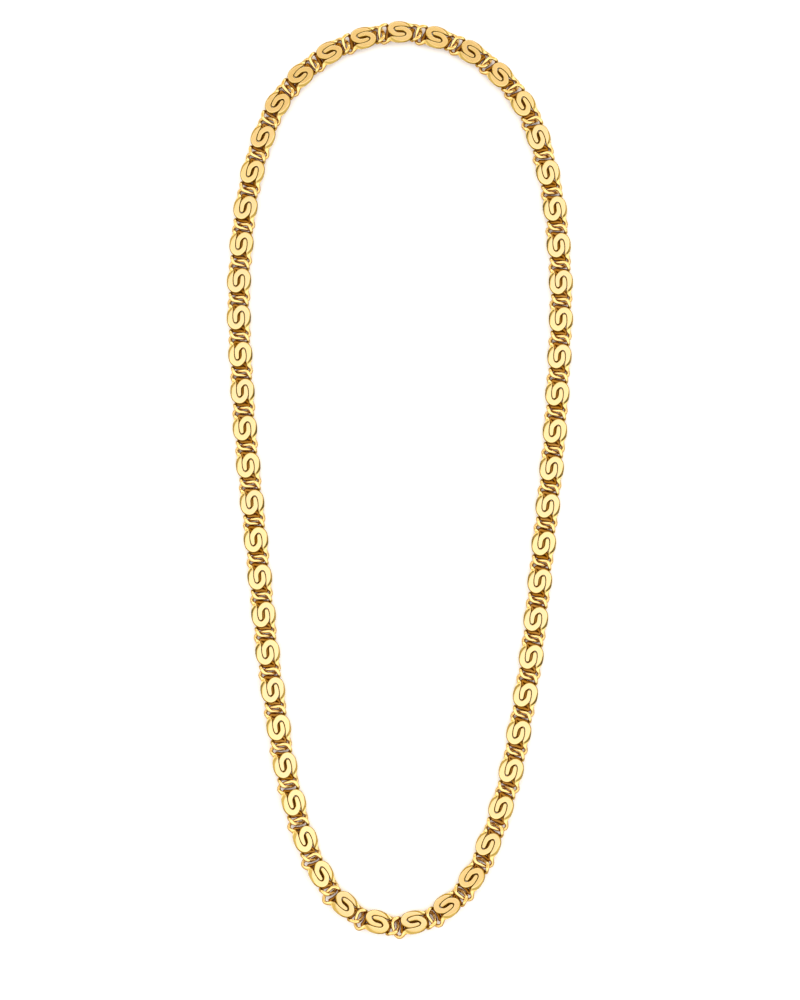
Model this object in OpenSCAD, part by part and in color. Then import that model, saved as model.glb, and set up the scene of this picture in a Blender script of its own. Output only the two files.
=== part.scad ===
/* [Link] */
// Reach of a link from its middle to the middle of either end bar
bar_reach = 8.45; // [8.4:0.05:8.5]
// Distance of the scroll's outer band from the middle of the link
scroll_reach = 3.5; // [3.45:0.05:3.55]
// Diameter of the wire in the loops
loop_wire = 1.4; // [1.3:0.05:1.45]
// Width of the wire where it is pressed into the scroll's outer band
band_width = 2.4; // [2.2:0.05:2.4]
// Thickness of the pressed wire before its face is cut flat
band_thickness = 1.9; // [1.7:0.05:2]
// Height from the wire lying low to the wire crossing over it
wire_step = 2.2; // [2.15:0.05:2.3]
// How far the flat cut face lies above the middle of the scroll's wire
cut_height = 0.6; // [0.5:0.05:0.7]

/* [Chain] */
// Share of the even spacing that the links take down the east side
east_spacing = 1.008; // [1:0.002:1.01]
// Share of the even spacing that the links take in the tight bend
bend_spacing = 0.975; // [0.97:0.005:1]
// Thickness of the bridges that join the links of one run where they bear on each other
bridge = 0.8; // [0.6:0.1:1]

/* [Hidden] */
NODES = [for (r = [1:11]) str("chain_run_", r < 10 ? "0" : "", r)];

// Links are numbered clockwise from the top one; the first run begins at first_link.
links_in_run = 5;
link_count = links_in_run * len(NODES);
first_link = 4;
bend_first = 24;
bend_last = 28;
bridge_sides = 3;

// Wire of half a link, from the hook's tip to the middle of its back.
// Columns: along and across the chain as shares of the two reaches, height as a
// share of the step from low to high, and width from loop 0 to band 1.
ALONG = 0;
ACROSS = 1;
HEIGHT = 2;
WIDE = 3;
half_link = [
    [0.178, -0.383, 1, 0.18],
    [-0.13, -0.383, 1, 0.45],
    [-0.35, -0.1, 1, 0.74],
    [-0.44, 0.33, 1, 0.96],
    [-0.355, 0.777, 1, 0.94],
    [-0.142, 0.986, 1, 0.88],
    [0.142, 1, 1, 0.82],
    [0.367, 0.914, 0.96, 0.56],
    [0.538, 0.92, 0.62, 0.2],
    [0.686, 1.09, 0.14, 0.02],
    [0.858, 1.04, 0, 0],
    [0.987, 0.529, 0.12, 0],
    [1, -0.343, 0.78, 0],
    [0.888, -0.777, 1, 0],
    [0.686, -0.977, 0.85, 0],
    [0.559, -0.814, 0.2, 0],
    [0.547, -0.371, 0, 0.08],
    [0.608, 0.443, 0, 0.08],
    [0.479, 0.611, 0, 0.1],
];

// Middle line of the chain seen from above, clockwise from the top.
// Columns: place across, place along, and how far the faces lean outward.
EAST = 0;
NORTH = 1;
ROLL = 2;
route = [
    [0, 180, 12],
    [29, 171.5, 11],
    [50, 150, 8],
    [60, 121, 5],
    [64.5, 84, 2],
    [63, 29, 0],
    [57, -32, 0],
    [49.5, -91, -3],
    [39, -137.5, -12],
    [27.5, -163.5, -19],
    [13, -177, -23],
    [-4, -180.5, -24],
    [-19.5, -174.5, -23],
    [-31, -161, -21],
    [-41, -136, -17],
    [-50, -91, -9],
    [-57, -32, -2],
    [-63, 29, 0],
    [-64.5, 84, 3],
    [-58.5, 126, 6.5],
    [-48, 152.5, 9],
    [-27.5, 172, 11.5],
];
curve_steps = 12;

// Moves the middle of the chain's own box over the origin, its lowest wire on the surface.
frame_shift = [0, 0.49, 0.08];

ring_angles = [40, 140, 200, 270, 340];
ring_count = len(ring_angles);

low = loop_wire / 2;
high = low + wire_step;
middle = (low + high) / 2;
cut = high + cut_height;

function unit(v) = v / norm(v);
function flat(v) = [v[EAST], v[NORTH]];
function wrap(i, n) = (i % n + n) % n;
function blend(a, b, t) = a + (b - a) * t;

// Route: a smooth closed curve through the points, cut into short steps.
function point(i) = flat(route[wrap(i, len(route))]);
function span(i) = norm(point(i + 1) - point(i));
function slope(i) =
    let (before = span(i - 1), after = span(i))
    ((point(i + 1) - point(i)) * before / after + (point(i) - point(i - 1)) * after / before)
    / (before + after);
function on_curve(i, t) =
    point(i) * (2 * t * t * t - 3 * t * t + 1)
    + slope(i) * span(i) * (t * t * t - 2 * t * t + t)
    + point(i + 1) * (3 * t * t - 2 * t * t * t)
    + slope(i + 1) * span(i) * (t * t * t - t * t);
curve = [for (i = [0:len(route)], s = [0:curve_steps - 1]) on_curve(i, s / curve_steps)];
curve_end = len(route) * curve_steps;
steps = [for (i = [0:curve_end - 1]) norm(curve[i + 1] - curve[i])];
travelled = [for (i = 0, sum = 0; i <= curve_end; sum = sum + (i < curve_end ? steps[i] : 0), i = i + 1) sum];
loop_length = travelled[curve_end];
east_at = [for (i = [0:curve_end]) [travelled[i], curve[i][EAST]]];
north_at = [for (i = [0:curve_end]) [travelled[i], curve[i][NORTH]]];
roll_at = [for (i = [0:len(route)]) [travelled[i * curve_steps], route[wrap(i, len(route))][ROLL]]];

// Spacing: even, but a little wider down the east side and closer in the tight bend.
shares = [for (i = [0:link_count - 1]) i < bend_first ? east_spacing : i <= bend_last ? bend_spacing : 1];
passed = [for (i = 0, sum = 0; i <= link_count; sum = sum + (i < link_count ? shares[i] : 0), i = i + 1) sum];
function distance(i) = passed[wrap(i, link_count)] * loop_length / passed[link_count];
function roll(i) = lookup(distance(i), roll_at);

// Height that a rolled link rests at, with its lowest wire on the surface.
function half_width(row) = blend(loop_wire, band_width, row[WIDE]) / 2;
function half_thickness(row) = min(half_width(row), blend(loop_wire, band_thickness, row[HEIGHT]) / 2);
function wire_height(row) = low + row[HEIGHT] * wire_step;
function depth(row, side, lean) =
    half_thickness(row) - (wire_height(row) - middle) * cos(lean)
    + side * row[ACROSS] * scroll_reach * sin(lean);
function rest_height(lean) = max([for (row = half_link, side = [-1, 1]) depth(row, side, lean)]);

function place(i) = [
    lookup(distance(i), east_at),
    lookup(distance(i), north_at),
    rest_height(roll(i)),
] + frame_shift;
function forward(i) = unit(place(i + 1) - place(i - 1));
function level_side(i) = unit([-forward(i)[NORTH], forward(i)[EAST], 0]);
function face_up(i) =
    cross(forward(i), level_side(i)) * cos(roll(i)) + level_side(i) * sin(roll(i));
function side(i) = cross(face_up(i), forward(i));
function in_chain(i, p) =
    place(i) + forward(i) * p[0] + side(i) * p[1] + face_up(i) * (p[2] - middle);

// Link: the half above, its middle, and the same half turned about the face.
function wire_point(row, turn) =
    [turn * row[ALONG] * bar_reach, turn * row[ACROSS] * scroll_reach, wire_height(row)];
last_row = len(half_link) - 1;
back = [0, 0, 0, half_link[last_row][WIDE]];
wire_rows = concat(half_link, [back], [for (k = [0:last_row]) half_link[last_row - k]]);
wire_end = len(wire_rows) - 1;
wire_points = [for (k = [0:wire_end]) wire_point(wire_rows[k], k <= last_row ? 1 : -1)];

// Ring round the wire, with its top cut flat where it rises above the face.
function direction(k) = unit(wire_points[min(k + 1, wire_end)] - wire_points[max(k - 1, 0)]);
function ring_side(k) = unit(cross(direction(k), [0, 0, 1]));
function cut_share(k) = min(1, (cut - wire_points[k][2]) / half_thickness(wire_rows[k]));
function ring_point(k, angle) =
    let (
        up = min(sin(angle), cut_share(k)),
        out = sin(angle) > up ? sign(cos(angle)) * sqrt(1 - up * up) : cos(angle),
        over = cross(ring_side(k), direction(k))
    )
    wire_points[k]
    + ring_side(k) * out * half_width(wire_rows[k])
    + over * up * half_thickness(wire_rows[k]);
link_points = [for (k = [0:wire_end], angle = ring_angles) ring_point(k, angle)];
function ring_index(k, s) = k * ring_count + s % ring_count;
link_faces = concat(
    [[for (s = [ring_count - 1:-1:0]) ring_index(0, s)]],
    [for (k = [0:wire_end - 1], s = [0:ring_count - 1])
        [ring_index(k, s), ring_index(k + 1, s + 1), ring_index(k + 1, s)]],
    [for (k = [0:wire_end - 1], s = [0:ring_count - 1])
        [ring_index(k, s), ring_index(k, s + 1), ring_index(k + 1, s + 1)]],
    [[for (s = [0:ring_count - 1]) ring_index(wire_end, s)]]
);

// Rows of the wire that lie under and over the next link's wire.
under_row = half_link[10];
over_row = half_link[13];

module link(i) {
    polyhedron([for (p = link_points) in_chain(i, p)], link_faces);
}

module dot(i, p) {
    translate(in_chain(i, p)) sphere(d = bridge, $fn = bridge_sides);
}

module bridges(i) {
    hull() {
        dot(i, wire_point(under_row, 1));
        dot(i + 1, wire_point(over_row, -1));
    }
    hull() {
        dot(i, wire_point(over_row, 1));
        dot(i + 1, wire_point(under_row, -1));
    }
}

module chain_run(number) {
    first = first_link + (number - 1) * links_in_run;
    color("gold") {
        for (k = [0:links_in_run - 1]) link(first + k);
        for (k = [0:links_in_run - 2]) bridges(first + k);
    }
}

chain_run(1);  // chain_run_01
chain_run(2);  // chain_run_02
chain_run(3);  // chain_run_03
chain_run(4);  // chain_run_04
chain_run(5);  // chain_run_05
chain_run(6);  // chain_run_06
chain_run(7);  // chain_run_07
chain_run(8);  // chain_run_08
chain_run(9);  // chain_run_09
chain_run(10);  // chain_run_10
chain_run(11);  // chain_run_11
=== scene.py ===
import math
import bpy
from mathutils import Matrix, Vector


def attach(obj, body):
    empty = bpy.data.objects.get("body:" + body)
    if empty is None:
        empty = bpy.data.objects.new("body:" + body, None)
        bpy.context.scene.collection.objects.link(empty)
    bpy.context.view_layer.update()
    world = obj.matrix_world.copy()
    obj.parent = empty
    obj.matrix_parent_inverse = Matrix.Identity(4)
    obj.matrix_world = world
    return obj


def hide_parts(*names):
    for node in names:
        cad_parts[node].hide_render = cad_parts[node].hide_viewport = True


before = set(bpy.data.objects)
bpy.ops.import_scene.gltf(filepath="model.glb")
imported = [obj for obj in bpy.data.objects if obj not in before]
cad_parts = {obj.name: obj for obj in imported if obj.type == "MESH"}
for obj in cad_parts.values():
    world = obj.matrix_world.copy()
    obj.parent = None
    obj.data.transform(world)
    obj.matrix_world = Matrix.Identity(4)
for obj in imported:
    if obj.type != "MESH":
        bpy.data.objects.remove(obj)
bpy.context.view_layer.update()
mm = 0.001
print("frame loaded:", len(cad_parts), "nodes")


class Signal:  # one socket, so that sums and products can be written as Python expressions
    def __init__(self, tree, socket):
        self.tree = tree
        self.socket = socket

    def mathNode(self, operation, first, second):
        return self.tree.node("ShaderNodeMath", {"operation": operation}, {0: first, 1: second})

    def __add__(self, other):
        return self.mathNode("ADD", self, other)

    def __sub__(self, other):
        return self.mathNode("SUBTRACT", self, other)

    def __mul__(self, other):
        return self.mathNode("MULTIPLY", self, other)

    def __truediv__(self, other):
        return self.mathNode("DIVIDE", self, other)

    def __rtruediv__(self, other):
        return self.mathNode("DIVIDE", other, self)

    def __radd__(self, other):
        return self.mathNode("ADD", other, self)

    def __rsub__(self, other):
        return self.mathNode("SUBTRACT", other, self)

    def __rmul__(self, other):
        return self.mathNode("MULTIPLY", other, self)


class NodeTree:  # a shader's or Geometry Nodes tree, filled one node at a time
    def __init__(self, tree):
        self.tree = tree

    def node(self, kind, settings, inputs, output=0):
        made = self.tree.nodes.new(kind)
        for name, value in settings.items():
            setattr(made, name, value)
        for name, value in inputs.items():
            socket = made.inputs[name]
            if isinstance(value, Signal):
                self.tree.links.new(value.socket, socket)
            else:
                socket.default_value = value
        return Signal(self, made.outputs[output]) if made.outputs else made

    def mix(self, share, first, second):  # of two colours
        return self.node("ShaderNodeMix", {"data_type": "RGBA"}, {0: share, 6: first, 7: second}, 2)

    def absolute(self, value):
        return self.node("ShaderNodeMath", {"operation": "ABSOLUTE"}, {0: value})

    def spread(self, value, low, high, outLow=0.0, outHigh=1.0):  # softly from one value to the other
        return self.node("ShaderNodeMapRange", {"interpolation_type": "SMOOTHSTEP"},
                         {0: value, 1: low, 2: high, 3: outLow, 4: outHigh})


# the link: one wire, half of it as rows, and the same half turned about the middle of the face; in mm

link = {
    "low": 0.70,                    # middle of the wire lying low, above the link's back
    "high": 2.90,                   # middle of the wire lying high
    "cut": 3.50,                    # plane of the flat cut face
    "loopWire": 0.70,               # radius of the round wire
    "pressed": 0.95,                # half thickness where the wire is pressed flat
    "squareness": 2.4,              # of the pressed wire's section, where a circle's is 2
    "squareOver": 0.2,              # how much wider than round the wire is once it's fully square
    "edge": 0.06,                   # softened edge of the cut face
    "mostEdge": 0.4,                # the softened edge's largest share of half the face
    "edgeFinish": 0.6,              # how much of the cut face's finish its outermost points have
    "slimmestFace": 0.985,          # height of the highest cut, as a share of the half thickness
    "leastCut": 0.97,               # cuts higher than this share leave no finished face
    "step": 0.42,                   # between rings of the mesh
    "roundPoints": 25,              # of a ring, round the uncut part of the section
    "facePoints": 9,                # of a ring, across its face
    "tipAngles": (82, 66, 48, 30, 14),  # of the rings that round off the wire's ends, in degrees
    "bandRow": 7,                   # the scroll's outer band begins here
    "faceCentre": (-0.18, -0.30),   # the outer band's face ends at a circle round this point
    "faceRadius": 4.55,
    "faceSlack": (0.2, 0.25),       # this far behind the link's middle the circle widens, with this slope
    "bevel": 1.00,                  # slope outside that circle
    "bevelDepth": 0.30,             # how far below the wire's middle the bevel may cut
    "bevelRows": (12.0, 15.5),      # rows between which the bevel runs out
    "bevelClear": 0.1,              # how far above the wire the bevel lies past those rows
    "bevelFull": 0.08,              # depth cut away from which the bevel has its own finish
    "flare": 0.24,                  # how much wider the band's outer side is below its face
    "flareRows": (3, 5, 11, 13.5),  # rows where the flare begins, is full, begins to end and ends
    "hairline": 0.04,               # left between wires of the scroll that are pressed together
    "mostSwelling": 0.14,           # of the wire, to close that gap
    "swellingAbove": 0.9,           # only wires whose middles lie this high are pressed together
    "swellingReach": 3.0,           # farthest that two such middles lie apart
    "swellingTurn": 0.8,            # how squarely they lie beside each other, at least
    "swellingRings": 14,            # rings along the same wire that don't count as its neighbours
    "halfWire": (        # along, across, height 0 low to 1 high, half width
        (1.50, -1.33, 1.00, 0.78),
        (0.40, -1.41, 1.00, 0.87),
        (-0.80, -1.41, 1.00, 0.91),
        (-1.90, -1.17, 1.00, 1.01),
        (-2.88, -0.42, 1.00, 1.07),
        (-3.52, 0.40, 1.00, 1.16),
        (-3.72, 1.30, 1.00, 1.19),
        (-3.36, 2.30, 1.00, 1.18),
        (-2.44, 3.08, 1.00, 1.16),
        (-1.20, 3.45, 1.00, 1.14),
        (0.20, 3.54, 1.00, 1.13),
        (1.50, 3.46, 1.00, 1.09),
        (2.70, 3.26, 0.98, 1.01),
        (3.75, 3.08, 0.87, 0.90),
        (4.70, 3.30, 0.57, 0.78),
        (5.60, 3.72, 0.22, 0.72),
        (6.50, 3.94, 0.02, 0.70),
        (7.28, 3.62, 0.00, 0.70),
        (7.88, 2.80, 0.02, 0.70),
        (8.28, 1.75, 0.14, 0.70),
        (8.42, 0.45, 0.40, 0.70),
        (8.40, -0.85, 0.70, 0.70),
        (8.16, -1.95, 0.93, 0.70),
        (7.42, -2.76, 1.00, 0.70),
        (6.40, -3.20, 0.98, 0.70),
        (5.60, -3.42, 0.80, 0.70),
        (4.98, -3.24, 0.42, 0.70),
        (4.60, -2.55, 0.08, 0.70),
        (4.60, -1.60, 0.00, 0.72),
        (4.74, -0.55, 0.00, 0.73),
        (4.90, 0.40, 0.00, 0.71),
        (5.24, 1.18, 0.00, 0.70),
        (5.48, 1.90, 0.00, 0.70),
        (4.98, 2.27, 0.00, 0.70),
        (4.22, 1.95, 0.00, 0.74),
        (3.34, 1.12, 0.00, 0.94),
        (2.45, 0.42, 0.00, 1.30),
        (1.30, 0.10, 0.00, 1.55),
    ),
    "firstUnder": 26,    # the wire passes under the head from this row on
    "widestUnder": (     # those rows where a straight chain leaves room for a wider wire
        (5.10, -3.20, 0.42, 0.72),
        (4.95, -2.52, 0.08, 0.84),
        (5.02, -1.60, 0.00, 0.98),
        (5.12, -0.55, 0.00, 0.98),
        (5.22, 0.40, 0.00, 0.95),
        (5.50, 1.20, 0.00, 0.92),
        (5.55, 1.92, 0.00, 0.82),
        (4.98, 2.30, 0.00, 0.72),
    ),
}
link["middle"] = (link["low"] + link["high"]) / 2
link["faceLevel"] = link["cut"] - link["middle"]


def wireRow(along, across, height, halfWidth):  # a table row as a place, with the link's middle at 0
    rise = link["low"] + (link["high"] - link["low"]) * height
    return Vector((along, across, rise - link["middle"])), halfWidth


def halfThickness(spot, halfWidth):  # the wire is pressed only where it lies high
    rise = (spot.z + link["middle"] - link["low"]) / (link["high"] - link["low"])
    return min(halfWidth, link["loopWire"] + (link["pressed"] - link["loopWire"]) * min(1, max(0, rise)))


def smoothPath(points, closed=False):  # slopes of a curve that leans less on far neighbours
    count = len(points)
    slopes = []
    for i in range(count):
        before = points[i] - points[i - 1] if i or closed else None
        after = points[(i + 1) % count] - points[i] if i < count - 1 or closed else None
        if before is None or after is None:
            slopes.append((after if before is None else before).normalized())
        else:
            a, b = before.length, after.length
            slopes.append((after / b * a + before / a * b) / (a + b))
    return slopes


def onPath(points, slopes, i, t):  # a place on that curve, t of the way from point i to the next
    j = (i + 1) % len(points)
    reach = (points[j] - points[i]).length
    return (points[i] * (2 * t**3 - 3 * t**2 + 1) + slopes[i] * reach * (t**3 - 2 * t**2 + t)
            + points[j] * (3 * t**2 - 2 * t**3) + slopes[j] * reach * (t**3 - t**2))


def halfRows(share):  # half the wire, its part under the head widened by the share
    rows = list(link["halfWire"])
    for i, widest in enumerate(link["widestUnder"], link["firstUnder"]):
        rows[i] = [a + (b - a) * share for a, b in zip(rows[i], widest)]
    return [wireRow(*row) for row in rows]


def wireLine(ahead=0.0, behind=0.0):  # rings' middles, half widths, and way on: 0 tip, 1 back, 2 tip
    rows = halfRows(ahead)
    turned = [(Vector((-p.x, -p.y, p.z)), width) for p, width in reversed(halfRows(behind))]
    back = len(rows)
    rows = rows + [wireRow(0, 0, 0, rows[-1][1])] + turned
    points = [p for p, width in rows]
    slopes = smoothPath(points)
    line = []
    for i in range(len(rows) - 1):
        parts = max(2, round((points[i + 1] - points[i]).length / link["step"]))
        for k in range(parts):
            t = k / parts
            width = rows[i][1] * (1 - t) + rows[i + 1][1] * t
            line.append((onPath(points, slopes, i, t), width, (i + t) / back))
    line.append((*rows[-1], 2.0))
    return line


def ringOutline(share, edge, power):  # unit section, flat at the share: out, up and part of the cut finish
    share = min(share, link["slimmestFace"])
    half = (1 - share**power) ** (1 / power)
    flat = half - min(edge, half * link["mostEdge"])
    last = link["facePoints"] - 1
    section = [(flat * (2 * k / last - 1), share, link["edgeFinish"] if k in (0, last) else 1.0)
               for k in range(last + 1)]
    start = math.atan2(share**(power / 2), half**(power / 2))
    sweep = math.pi + 2 * start
    for k in range(link["roundPoints"]):
        angle = start - 0.5 * edge - (sweep - edge) * k / (link["roundPoints"] - 1)
        out = math.copysign(abs(math.cos(angle)) ** (2 / power), math.cos(angle))
        up = math.copysign(abs(math.sin(angle)) ** (2 / power), math.sin(angle))
        section.append((out, min(up, share), 0.0))
    return section


def rowAt(far):  # row of halfWire, counted from the nearer tip
    return (far if far < 1 else 2 - far) * len(link["halfWire"])


def faceHeight(spot, far):  # the cut plane, bevelled down outside the face's circle
    turn = 1 if far < 1 else -1
    along, across = spot.x * turn, spot.y * turn
    if rowAt(far) < link["bandRow"]:
        return link["faceLevel"]
    east, north = link["faceCentre"]
    begins, slack = link["faceSlack"]
    reach = math.hypot(along - east, across - north) - link["faceRadius"] - slack * max(0, -along - begins)
    return link["faceLevel"] - link["bevel"] * max(0, reach)


def bevelFloor(centre, thick, far):  # the lowest that the bevel cuts: nothing at all past the head
    begins, ends = link["bevelRows"]
    past = max(0, min(1, (rowAt(far) - begins) / (ends - begins)))
    return centre.z - link["bevelDepth"] * (1 - past) + (thick + link["bevelClear"]) * past


def flare(far):  # of the band's outer side
    row = rowAt(far)
    begins, full, fades, ends = link["flareRows"]
    return link["flare"] * max(0, min(1, (row - begins) / (full - begins), (ends - row) / (ends - fades)))


def swelling(line, i, out):  # how far the pressed wire swells to the right and to the left below its face
    centre, wide, far = line[i]
    gaps = [math.inf, math.inf]
    for j, (other, otherWide, otherFar) in enumerate(line):
        apart = other - centre
        if abs(j - i) < link["swellingRings"] or apart.length > link["swellingReach"]:
            continue
        if min(centre.z, other.z) < link["swellingAbove"]:
            continue
        turn = out.dot(apart) / apart.length
        if abs(turn) > link["swellingTurn"]:
            k = 0 if turn > 0 else 1
            gaps[k] = min(gaps[k], apart.length - wide - otherWide)
    most, hairline = link["mostSwelling"], link["hairline"]
    return [0.0 if gap == math.inf else max(0.0, min(most, (gap - hairline) / 2)) for gap in gaps]


def linkMesh(ahead, behind):  # rings along the wire, each with its face's points first
    line = wireLine(ahead, behind)
    rounding = [math.radians(a) for a in link["tipAngles"]]
    headWay = (line[0][0] - line[1][0]).normalized()
    tailWay = (line[-1][0] - line[-2][0]).normalized()
    first, last = line[0], line[-1]
    head = [(first[0] + headWay * first[1] * math.sin(a), first[1] * math.cos(a), 0.0) for a in rounding]
    tail = [(last[0] + tailWay * last[1] * math.sin(a), last[1] * math.cos(a), 2.0) for a in rounding]
    line = head + line + tail[::-1]
    points, finished, bevelled, faces = [], [], [], []
    for i, (centre, wide, far) in enumerate(line):
        way = line[min(i + 1, len(line) - 1)][0] - line[max(i - 1, 0)][0]
        way.normalize()
        out = way.cross(Vector((0, 0, 1))).normalized()
        over = out.cross(way)
        thick = halfThickness(centre, wide)
        pressed = min(1.0, max(0.0, (wide - link["loopWire"]) / link["squareOver"]))
        power = 2.0 + (link["squareness"] - 2.0) * pressed
        share = (link["faceLevel"] - centre.z) / (thick * over.z)
        outline = ringOutline(max(0.0, share), link["edge"] / wide, power)
        faceEdge = outline[link["facePoints"] - 1][0]
        right, left = swelling(line, i, out)
        if far < 1:  # the band's outer side is on the left in the first half of the wire
            left = max(left, flare(far))
        else:
            right = max(right, flare(far))
        for x, y, mark in outline:
            beyond = max(0, abs(x) - faceEdge) / max(1 - faceEdge, 0.01)
            wider = beyond * right if x > 0 else -beyond * left
            spot = centre + out * (x * wide + wider) + over * y * thick
            limit = faceHeight(spot, far)
            finished.append(mark if share < link["leastCut"] and spot.z < limit + 0.001 else 0.0)
            lowest = max(limit, bevelFloor(centre, thick, far))
            bevelled.append(min(1.0, max(0.0, spot.z - lowest) / link["bevelFull"]))
            spot.z = min(spot.z, lowest)
            points.append(spot * mm)
    ringSize = link["facePoints"] + link["roundPoints"]
    for i in range(len(line) - 1):
        for k in range(ringSize):
            a, b = i * ringSize + k, i * ringSize + (k + 1) % ringSize
            faces.append((a, b, b + ringSize, a + ringSize))
    lastRing = (len(line) - 1) * ringSize
    for start, way, (centre, wide, far) in ((0, headWay, first), (lastRing, tailWay, last)):
        pole = len(points)
        points.append((Vector((centre.x, centre.y, min(centre.z, link["faceLevel"]))) + way * wide) * mm)
        finished.append(0.0)
        bevelled.append(0.0)
        for k in range(ringSize):
            a, b = start + k, start + (k + 1) % ringSize
            faces.append((b, a, pole) if start == 0 else (a, b, pole))
    mesh = bpy.data.meshes.new("scroll_link")
    mesh.from_pydata(points, [], faces)
    mesh.polygons.foreach_set("use_smooth", [True] * len(faces))
    for name, values in (("cutFace", finished), ("bevelled", bevelled)):
        mesh.attributes.new(name, "FLOAT", "POINT").data.foreach_set("value", values)
    places = mesh.attributes.new("linkSpot", "FLOAT_VECTOR", "POINT")
    places.data.foreach_set("vector", [c for p in points for c in p])
    mesh.update()
    facing = mesh.attributes.new("facing", "FLOAT", "POINT")
    facing.data.foreach_set("value", [vertex.normal.z for vertex in mesh.vertices])
    return mesh


# the chain's route: clockwise from the top, as in the solids

chain = {
    "route": (           # east, north, and degrees that the faces lean outward
        (0, 180, 12), (29, 171.5, 11), (50, 150, 8), (60, 121, 5), (64.5, 84, 2), (63, 29, 0),
        (57, -32, 0), (49.5, -91, -3), (39, -137.5, -12), (27.5, -163.5, -19), (13, -177, -23),
        (-4, -180.5, -24), (-19.5, -174.5, -23), (-31, -161, -21), (-41, -136, -17), (-50, -91, -9),
        (-57, -32, -2), (-63, 29, 0), (-64.5, 84, 3), (-58.5, 126, 6.5), (-48, 152.5, 9),
        (-27.5, 172, 11.5),
    ),
    "curveSteps": 12,
    "links": 55,
    "linksInRun": 5,
    "firstLink": 4,
    "bend": (24, 28),    # first and last link of the tight bend
    "eastSpacing": 1.008,    # share of the even spacing before the bend
    "bendSpacing": 0.975,    # and in it
    "shift": (0.0, 0.49, 0.08),  # puts the chain's box in the middle, and its lowest wire on the surface
    "widened": (         # ahead and behind in each run, how far the wire under the head is widened
        (0.7, 0.8), (1.0, 1.0), (1.0, 1.0), (0.8, 0.8), (0.0, 0.4), (0.0, 0.4),
        (0.8, 0.8), (0.8, 0.8), (0.6, 0.6), (0.5, 0.6), (0.0, 0.6),
    ),
    "turn": 0.1,         # degrees that a head may stand turned in its place
    "seed": 7,
    "toneSeed": 50,      # added to the seed for the links' tones
}


def pickUp(distance, marks, values):  # the value at a distance, between two marks
    for i in range(len(marks) - 1):
        if distance <= marks[i + 1]:
            t = (distance - marks[i]) / (marks[i + 1] - marks[i])
            return values[i] + (values[i + 1] - values[i]) * t
    return values[-1]


def chainPlaces():  # middles of the links, and how far each leans
    stations = [Vector((east, north, 0)) for east, north, lean in chain["route"]]
    slopes = smoothPath(stations, closed=True)
    steps = chain["curveSteps"]
    curve = [onPath(stations, slopes, i, k / steps) for i in range(len(stations)) for k in range(steps)]
    curve.append(stations[0])
    travelled = [0.0]
    for a, b in zip(curve, curve[1:]):
        travelled.append(travelled[-1] + (b - a).length)
    leans = [station[2] for station in chain["route"]] + [chain["route"][0][2]]
    first, last = chain["bend"]
    shares = [chain["eastSpacing"]] * first + [chain["bendSpacing"]] * (last + 1 - first)
    shares += [1.0] * (chain["links"] - len(shares))
    line = wireLine()
    places, rolls = [], []
    passed = 0.0
    for share in shares:
        distance = passed * travelled[-1] / sum(shares)
        passed += share
        lean = math.radians(pickUp(distance, travelled[::steps], leans))
        depth = max(halfThickness(p, wide) - p.z * math.cos(lean) + p.y * math.sin(lean)
                    for p, wide, far in line)
        spot = pickUp(distance, travelled, curve) + Vector((0, 0, depth))
        places.append(spot + Vector(chain["shift"]))
        rolls.append(lean)
    return places, rolls


def chainFrames():  # place, forward and face direction of every link
    places, rolls = chainPlaces()
    frames = []
    for i, (spot, lean) in enumerate(zip(places, rolls)):
        forward = (places[(i + 1) % len(places)] - places[i - 1]).normalized()
        level = Vector((-forward.y, forward.x, 0)).normalized()
        faceUp = forward.cross(level) * math.cos(lean) + level * math.sin(lean)
        frames.append((spot * mm, forward, faceUp))
    return frames


def chainTree():  # sets a link on every point, turned to the chain
    group = bpy.data.node_groups.new("linksAlongChain", "GeometryNodeTree")
    for name, kind, way in (("Points", "NodeSocketGeometry", "INPUT"), ("Link", "NodeSocketObject", "INPUT"),
                            ("Gold", "NodeSocketMaterial", "INPUT"), ("Turn", "NodeSocketFloat", "INPUT"),
                            ("Seed", "NodeSocketInt", "INPUT"), ("Chain", "NodeSocketGeometry", "OUTPUT")):
        group.interface.new_socket(name, in_out=way, socket_type=kind)
    tree = NodeTree(group)
    given = group.nodes.new("NodeGroupInput")
    wanted = {socket.name: Signal(tree, socket) for socket in given.outputs if socket.name}

    def carried(name):
        return tree.node("GeometryNodeInputNamedAttribute", {"data_type": "FLOAT_VECTOR"}, {"Name": name})

    facing = tree.node("FunctionNodeAxesToRotation", {"primary_axis": "Z", "secondary_axis": "X"},
                       {0: carried("faceUp"), 1: carried("forward")})
    spin = tree.node("FunctionNodeRandomValue", {"data_type": "FLOAT"},
                     {"Min": wanted["Turn"] * -1, "Max": wanted["Turn"], "Seed": wanted["Seed"]}, 1)
    turn = tree.node("FunctionNodeAxisAngleToRotation", {}, {"Axis": (0, 0, 1), "Angle": spin})
    facing = tree.node("FunctionNodeRotateRotation", {"rotation_space": "LOCAL"}, {0: facing, 1: turn})
    shape = tree.node("GeometryNodeObjectInfo", {"transform_space": "ORIGINAL"},
                      {"Object": wanted["Link"]}, "Geometry")
    row = tree.node("GeometryNodeInstanceOnPoints", {},
                    {"Points": wanted["Points"], "Instance": shape, "Rotation": facing})
    tone = tree.node("FunctionNodeRandomValue", {"data_type": "FLOAT"},
                     {"Min": 0.0, "Max": 1.0, "Seed": wanted["Seed"] + chain["toneSeed"]}, 1)
    row = tree.node("GeometryNodeStoreNamedAttribute", {"data_type": "FLOAT", "domain": "INSTANCE"},
                    {"Geometry": row, "Name": "linkTone", "Value": tone})
    row = tree.node("GeometryNodeRealizeInstances", {}, {"Geometry": row})
    row = tree.node("GeometryNodeSetMaterial", {}, {"Geometry": row, "Material": wanted["Gold"]})
    end = group.nodes.new("NodeGroupOutput")
    group.links.new(row.socket, end.inputs["Chain"])
    return group


# gold

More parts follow.
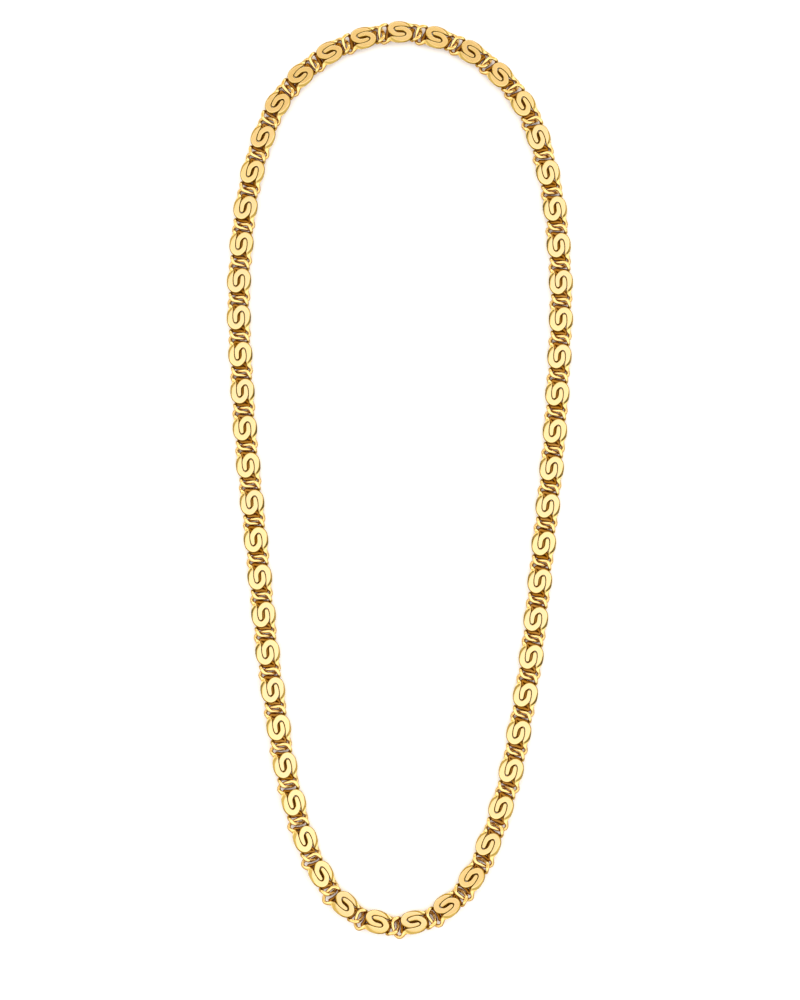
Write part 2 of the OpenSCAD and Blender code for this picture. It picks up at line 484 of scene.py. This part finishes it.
gold = {
    "cutColour": (0.66, 0.50, 0.275, 1),   # flat cut faces
    "roundColour": (0.76, 0.55, 0.22, 1),  # drawn wire
    "sideShadeColour": (0.44, 0.24, 0.02, 1),   # painted shade on the steep sides, darker the more they turn from upward
    "deepShadeColour": (0.30, 0.115, 0.004, 1),  # painted shade on the wire under the face, low in the recesses
    "rimShadeColour": (0.30, 0.19, 0.025, 1),   # painted shade: a dark outline beside the cut face
    "edgeTint": (0.80, 0.45, 0.06, 1),     # of light that only grazes the wire
    "cutRoughness": 0.30,
    "roundRoughness": 0.20,
    "deepRoughness": 0.45,
    "brush": (900, 5200, 900),             # the satin finish's strokes run along the link
    "brushDetail": 3.0,
    "brushPlaces": (0.35, 0.75),           # of the grain, between which a stroke shows
    "brushShare": 0.22,
    "brushRoughness": 0.16,
    "brushLift": 0.6,
    "patchScale": 160.0,                   # uneven wear, in patches nearly as large as a head
    "patchRoughness": 0.08,
    "patchReach": 0.5,                     # how far it moves the edge of the dull wire, mm
    "speckScale": 2600.0,                  # fine specks in the plating
    "speckLift": 0.5,
    "bumpStrength": 0.35,
    "bumpDistance": 0.00002,
    "toneShare": 0.35,                     # most that a link's own tone changes its colour
    "sideShadeFacing": (0.05, 0.72),            # upward part of the normal, from a full painted side shade to none
    "shadedDullHeights": (-0.6, 0.5),            # from the link's middle, from fully dull and shaded to not at all, mm
    "shadedDullAlong": (6.0, 7.4),               # and away from the middle of its face
    "shadedDullAcross": (2.7, 3.4),
    "shadedDullOutside": 0.2,                    # what is left of the dullness and painted shade farther out
    "rimFacing": (0.78, 0.985),            # upward part of the normal, from a full rim to none
    "rimHeights": (0.3, 1.0),              # above the link's middle, from none to full, mm
    "rimAlong": (4.6, 6.2),                # away from it along the link, from full to none
    "rimOffBevel": 0.2,                    # how much lighter the painted rim shade is on the bevel
}


def goldMaterial():
    material = bpy.data.materials.new("paleGoldPlate")
    material.use_nodes = True
    material.node_tree.nodes.clear()
    tree = NodeTree(material.node_tree)

    def carried(name, output="Fac"):  # an attribute that the link's mesh brings along
        return tree.node("ShaderNodeAttribute", {"attribute_name": name}, {}, output)

    def noise(vector, scale, detail=2.0):
        return tree.node("ShaderNodeTexNoise", {}, {"Vector": vector, "Scale": scale, "Detail": detail})

    place = tree.node("ShaderNodeTexCoord", {}, {}, "Object")
    spot = carried("linkSpot", "Vector")
    cut = carried("cutFace")
    tone = carried("linkTone")
    facing = carried("facing")
    along, across, height = (tree.node("ShaderNodeSeparateXYZ", {}, {"Vector": spot}, k) / mm
                             for k in range(3))
    brushed = tree.node("ShaderNodeVectorMath", {"operation": "MULTIPLY"}, {0: spot, 1: gold["brush"]})
    grain = noise(brushed, 1.0, gold["brushDetail"])
    patches = noise(place, gold["patchScale"])
    speck = noise(place, gold["speckScale"])

    # painted shade: the steep sides are darkened by how far their normals turn from upward
    side = tree.spread(facing, *gold["sideShadeFacing"], 1.0, 0.0)
    # low wire in the recesses: made rougher, and darkened with painted shade in its colour
    low = tree.spread(height + (patches - 0.5) * gold["patchReach"], *gold["shadedDullHeights"], 1.0, 0.0)
    inside = (tree.spread(tree.absolute(along), *gold["shadedDullAlong"], 1.0, 0.0)
              * tree.spread(tree.absolute(across), *gold["shadedDullAcross"], 1.0, 0.0))
    deep = low * (inside * (1 - gold["shadedDullOutside"]) + gold["shadedDullOutside"])
    # painted shade: a dark outline on the sloping rim beside the cut face, high on the link
    rim = tree.spread(facing, *gold["rimFacing"], 1.0, 0.0) * tree.spread(height, *gold["rimHeights"])
    rim = rim * tree.spread(tree.absolute(along), *gold["rimAlong"], 1.0, 0.0)
    rim = rim * (1 - carried("bevelled") * gold["rimOffBevel"])

    colour = tree.mix(cut, gold["roundColour"], gold["cutColour"])
    strokes = tree.spread(grain, *gold["brushPlaces"], 0.0, gold["brushShare"]) * cut
    colour = tree.mix(strokes, colour, gold["roundColour"])
    colour = tree.mix(tone * gold["toneShare"], colour, gold["roundColour"])
    # painted shade on the steep sides
    colour = tree.mix(side, colour, gold["sideShadeColour"])
    # painted shade in the recesses, under the face
    colour = tree.mix(deep, colour, gold["deepShadeColour"])
    # painted shade along the rim beside the cut face
    colour = tree.mix(rim, colour, gold["rimShadeColour"])
    rough = gold["roundRoughness"] + cut * (gold["cutRoughness"] - gold["roundRoughness"])
    rough = rough + (grain - 0.5) * gold["brushRoughness"] * cut + (patches - 0.5) * gold["patchRoughness"]
    rough = rough + deep * (gold["deepRoughness"] - rough)
    lift = grain * cut * gold["brushLift"] + speck * gold["speckLift"]
    bump = tree.node("ShaderNodeBump", {},
                     {"Strength": gold["bumpStrength"], "Distance": gold["bumpDistance"], "Height": lift})
    shader = tree.node("ShaderNodeBsdfPrincipled", {},
                       {"Base Color": colour, "Metallic": 1.0, "Roughness": rough, "Normal": bump,
                        "Specular Tint": gold["edgeTint"]})
    tree.node("ShaderNodeOutputMaterial", {}, {"Surface": shader})
    return material


# making the chain: one link mesh for each way that it is widened, set on five points a run

templates = {}
for shares in chain["widened"]:
    if shares not in templates:
        templates[shares] = bpy.data.objects.new("scroll_link", linkMesh(*shares))
        bpy.context.scene.collection.objects.link(templates[shares])
print("link meshes:", len(templates), "of", len(templates[chain["widened"][0]].data.polygons), "faces")
goldPlate = goldMaterial()
tree = chainTree()
frames = chainFrames()
socketOf = {item.name: item.identifier for item in tree.interface.items_tree if item.in_out == "INPUT"}
runs = []
for number in range(1, chain["links"] // chain["linksInRun"] + 1):
    first = chain["firstLink"] + (number - 1) * chain["linksInRun"]
    members = [frames[(first + k) % chain["links"]] for k in range(chain["linksInRun"])]
    points = bpy.data.meshes.new(f"scroll_links_{number:02d}")
    points.from_pydata([spot for spot, forward, faceUp in members], [], [])
    for name, column in (("forward", 1), ("faceUp", 2)):
        carrier = points.attributes.new(name, "FLOAT_VECTOR", "POINT")
        carrier.data.foreach_set("vector", [c for member in members for c in member[column]])
    run = bpy.data.objects.new(f"scroll_links_{number:02d}", points)
    bpy.context.scene.collection.objects.link(run)
    setter = run.modifiers.new("links", "NODES")
    setter.node_group = tree
    for name, value in (("Link", templates[chain["widened"][number - 1]]), ("Gold", goldPlate),
                        ("Turn", math.radians(chain["turn"])), ("Seed", chain["seed"] + number)):
        setter[socketOf[name]] = value
    runs.append(run)

bpy.context.view_layer.update()
graph = bpy.context.evaluated_depsgraph_get()
for run in runs:
    made = bpy.data.meshes.new_from_object(run.evaluated_get(graph))
    run.modifiers.clear()
    run.data = made
for template in templates.values():
    bpy.data.objects.remove(template)
for number, run in enumerate(runs, 1):
    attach(run, "root")
    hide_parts(f"chain_run_{number:02d}")
print("chain:", sum(len(run.data.polygons) for run in runs), "faces")


# floor, light and camera

studio = {
    "floorSize": 12.0,
    "floorColour": (0.95, 0.92, 0.88, 1),
    "floorRoughness": 0.9,
    "floorShine": 0.1,
    "aim": (0.0, -0.01151, 0.0),  # where the camera looks
    "distance": 1.2,         # from there to the camera
    "elevation": 82.0,       # of the camera, from the south
    "lens": 108.0,
    "sensor": 36.0,
    "farthest": 20.0,        # that the camera sees
    "horizon": 0.15,         # brightness of the room low down
    "ring": 1.9,             # of the soft light all round
    "ringHeights": (8.0, 22.0, 31.0, 45.0),  # elevations where it begins, is full, begins to end and ends
    "northern": 0.25,        # how much brighter the ring is in the north, and dimmer in the south
    "overhead": 1.95,        # of the soft light above it
    "dimBand": (99.0, 58.0, 0.56, 0.25),     # azimuth, elevation, half width, half height
    "dimEdge": (0.3, 1.6),   # squared distance from the band's middle, from its full part to its end
    "dimAhead": 0.3,         # how far round towards the band it begins
    "dimColour": (0.56, 0.43, 0.17, 1),      # what the band leaves of the light
}


def floorMaterial():
    material = bpy.data.materials.new("whiteTable")
    material.use_nodes = True
    material.node_tree.nodes.clear()
    tree = NodeTree(material.node_tree)
    shader = tree.node("ShaderNodeBsdfPrincipled", {},
                       {"Base Color": studio["floorColour"], "Roughness": studio["floorRoughness"],
                        "Specular IOR Level": studio["floorShine"]})
    tree.node("ShaderNodeOutputMaterial", {}, {"Surface": shader})
    return material


half = studio["floorSize"] / 2
sheet = bpy.data.meshes.new("table")
corners = [(-half, -half, 0), (half, -half, 0), (half, half, 0), (-half, half, 0)]
sheet.from_pydata(corners, [], [(0, 1, 2, 3)])
table = bpy.data.objects.new("table", sheet)
bpy.context.scene.collection.objects.link(table)
table.data.materials.append(floorMaterial())


def towards(azimuth, elevation):  # a direction from the table, azimuth 90 being north
    a, e = math.radians(azimuth), math.radians(elevation)
    return (math.cos(a) * math.cos(e), math.sin(a) * math.cos(e), math.sin(e))


def roomLight():  # soft light overhead and in a brighter ring all round, with a dim warm band in the north
    world = bpy.data.worlds.new("studioRoom")
    bpy.context.scene.world = world
    world.use_nodes = True
    world.node_tree.nodes.clear()
    tree = NodeTree(world.node_tree)
    way = tree.node("ShaderNodeTexCoord", {}, {}, "Generated")

    def along(direction):
        return tree.node("ShaderNodeVectorMath", {"operation": "DOT_PRODUCT"}, {0: way, 1: direction}, 1)

    upward = along((0, 0, 1))
    begins, full, fades, ends = (math.sin(math.radians(a)) for a in studio["ringHeights"])
    ring = tree.spread(upward, begins, full, studio["horizon"], studio["ring"])
    ring = ring * (along((0, studio["northern"], 0)) + 1)
    glow = ring + (studio["overhead"] - ring) * tree.spread(upward, fades, ends)
    azimuth, elevation, width, height = studio["dimBand"]
    level = along([c / width for c in towards(azimuth - 90, 0)])
    upright = along([c / height for c in towards(azimuth + 180, 90 - elevation)])
    ahead = tree.spread(along(towards(azimuth, elevation)), 0.0, studio["dimAhead"])
    dim = tree.spread(level * level + upright * upright, *studio["dimEdge"], 1.0, 0.0) * ahead
    colour = tree.mix(dim, (1, 1, 1, 1), studio["dimColour"])
    back = tree.node("ShaderNodeBackground", {}, {"Color": colour, "Strength": glow})
    tree.node("ShaderNodeOutputWorld", {}, {"Surface": back})


roomLight()
bpy.context.scene.view_settings.view_transform = "Standard"

camera = bpy.data.cameras.new("camera")
camera.lens = studio["lens"]
camera.sensor_width = studio["sensor"]
camera.clip_end = studio["farthest"]
view = bpy.data.objects.new("camera", camera)
rise = math.radians(studio["elevation"])
aim = Vector(studio["aim"])
view.location = aim + Vector((0, -math.cos(rise), math.sin(rise))) * studio["distance"]
view.rotation_euler = (aim - view.location).to_track_quat("-Z", "Y").to_euler()
bpy.context.scene.collection.objects.link(view)
bpy.context.scene.camera = view
print("studio ready")
